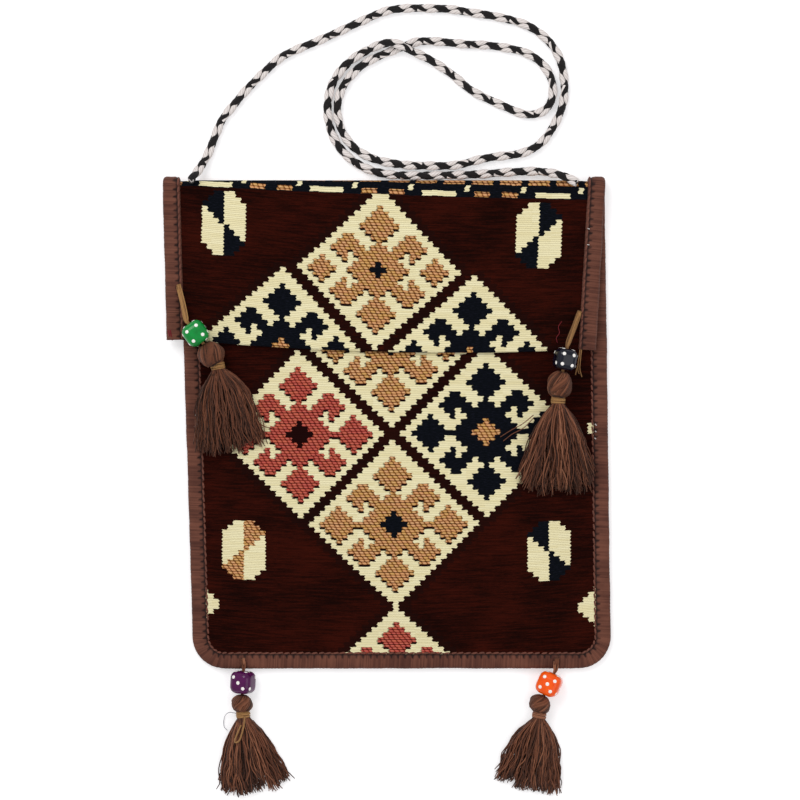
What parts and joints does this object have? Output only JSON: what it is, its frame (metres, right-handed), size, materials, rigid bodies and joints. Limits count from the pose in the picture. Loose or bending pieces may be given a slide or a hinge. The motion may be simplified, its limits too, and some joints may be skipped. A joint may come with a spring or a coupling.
{
  "type": "shoulder bag",
  "caption": "Flat woven shoulder bag with a fold-over flap, wrapped edges, a long twisted cord strap, and tassels that swing under dotted beads.",
  "frame": {"origin": "on the underside of the back cloth, near the middle of the bag's body; the bag lies on its back on z = 0", "axes": "+X across the bag, +Y from its bottom to its strap, +Z out of its front"},
  "size_m": [0.2509, 0.4489, 0.0244],
  "materials": {
    "woven_wool": "tapestry weave with stepped diamonds",
    "wrapped_thread": "thread wrapped over the edge",
    "twisted_cord": "thick white and black strands twisted together",
    "tassel_thread": "loose shiny threads",
    "green_bead": "glossy with raised white dots",
    "blue_bead": "glossy with raised white dots",
    "purple_bead": "glossy with raised white dots",
    "orange_bead": "glossy with raised white dots"
  },
  "bodies": {
    "bag": {"back_and_flap_cloth": "woven_wool", "front_cloth": "woven_wool", "edge_binding": "wrapped_thread", "strap_cord": "twisted_cord"},
    "green_tassel": {"green_tassel_loop": "tassel_thread", "green_bead": "green_bead", "green_tassel_threads": "tassel_thread", "green_tassel_neck_wrap": "tassel_thread"},
    "blue_tassel": {"blue_tassel_loop": "tassel_thread", "blue_bead": "blue_bead", "blue_tassel_threads": "tassel_thread", "blue_tassel_neck_wrap": "tassel_thread"},
    "purple_tassel": {"purple_tassel_loop": "tassel_thread", "purple_bead": "purple_bead", "purple_tassel_threads": "tassel_thread", "purple_tassel_neck_wrap": "tassel_thread"},
    "orange_tassel": {"orange_tassel_loop": "tassel_thread", "orange_bead": "orange_bead", "orange_tassel_threads": "tassel_thread", "orange_tassel_neck_wrap": "tassel_thread"}
  },
  "joints": [
    {"name": "green_tassel_swing", "type": "hinge", "parent": "bag", "child": "green_tassel", "pos_m": [-0.11763, 0.0745, 0.0112], "axis": [0, 0, 1], "range_deg": [-22, 3]},
    {"name": "blue_tassel_swing", "type": "hinge", "parent": "bag", "child": "blue_tassel", "pos_m": [0.10046, 0.061, 0.0112], "axis": [0, 0, 1], "range_deg": [-15, 14]},
    {"name": "purple_tassel_swing", "type": "hinge", "parent": "bag", "child": "purple_tassel", "pos_m": [-0.0862, -0.1335, 0.0071], "axis": [0, 0, 1], "range_deg": [-15, 15]},
    {"name": "orange_tassel_swing", "type": "hinge", "parent": "bag", "child": "orange_tassel", "pos_m": [0.0893, -0.1335, 0.0071], "axis": [0, 0, 1], "range_deg": [-8, 15]}
  ]
}
